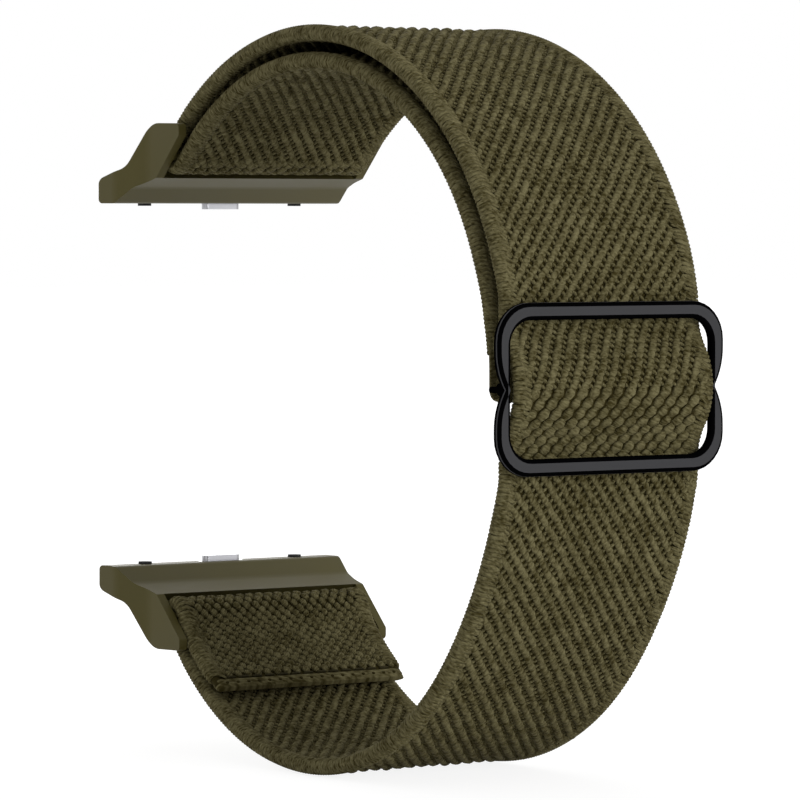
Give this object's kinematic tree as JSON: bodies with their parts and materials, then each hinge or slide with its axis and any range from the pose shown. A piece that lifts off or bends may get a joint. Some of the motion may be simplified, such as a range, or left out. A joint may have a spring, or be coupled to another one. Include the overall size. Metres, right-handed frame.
{
  "type": "elastic nylon watch strap",
  "caption": "Elastic woven nylon watch strap that loops through a tri-bar slider and ends in two slide-in metal connectors with sprung catches.",
  "frame": {"origin": "middle of the width and depth, at the lowest point of the strap", "axes": "+X across the strap along its bars, +Y from the slider towards the watch, +Z from the bottom connector to the top connector"},
  "size_m": [0.0286, 0.0692, 0.0746],
  "materials": {
    "webbing": "matt woven elastic nylon, olive drab",
    "thread": "matt sewing thread, dark olive",
    "connector_metal": "satin olive coating",
    "slider_metal": "satin dark grey face with black bevels",
    "latch_steel": "bright spring steel",
    "nub_rubber": "matt black rubber"
  },
  "bodies": {
    "webbing": {"webbing_outer_run": "webbing", "webbing_top_turn": "webbing", "webbing_inner_run": "webbing", "webbing_outer_adjust": "webbing", "webbing_inner_adjust": "webbing", "webbing_lower_adjust": "webbing", "webbing_lower_run": "webbing", "webbing_lower_fold": "webbing", "bottom_seam_thread": "thread"},
    "slider": {"slider_frame": "slider_metal", "webbing_slider_pass": "webbing", "webbing_tail_loop": "webbing", "tail_seam_thread": "thread"},
    "top_connector": {"top_connector_body": "connector_metal", "top_latch_spring": "latch_steel", "top_latch_retainer": "latch_steel", "top_rubber_nubs": "nub_rubber"},
    "top_latch": {"top_latch_catch": "latch_steel"},
    "bottom_connector": {"bottom_connector_body": "connector_metal", "bottom_latch_spring": "latch_steel", "bottom_latch_retainer": "latch_steel", "bottom_rubber_nubs": "nub_rubber"},
    "bottom_latch": {"bottom_latch_catch": "latch_steel"}
  },
  "joints": [
    {"name": "slider_travel", "type": "hinge", "parent": "webbing", "child": "slider", "pos_m": [0, 0.0006, 0.04064], "axis": [-1, 0, 0], "range_deg": [-10, 28], "deforming": ["webbing_outer_adjust", "webbing_inner_adjust", "webbing_lower_adjust"]},
    {"name": "top_connector_hinge", "type": "hinge", "parent": "webbing", "child": "top_connector", "pos_m": [0, 0.02434, 0.06185], "axis": [1, 0, 0], "range_deg": [-25, 25]},
    {"name": "bottom_connector_hinge", "type": "hinge", "parent": "webbing", "child": "bottom_connector", "pos_m": [0, 0.02434, 0.01428], "axis": [1, 0, 0], "range_deg": [-25, 25]},
    {"name": "top_latch_push", "type": "slide", "parent": "top_connector", "child": "top_latch", "axis": [0, 0, 1], "range_m": [0, 0.0005], "stiffness_N_per_m": 500, "springref_m": -0.0004, "deforming": ["top_latch_spring"]},
    {"name": "bottom_latch_push", "type": "slide", "parent": "bottom_connector", "child": "bottom_latch", "axis": [0, 0, -1], "range_m": [0, 0.0005], "stiffness_N_per_m": 500, "springref_m": -0.0004, "deforming": ["bottom_latch_spring"]}
  ]
}
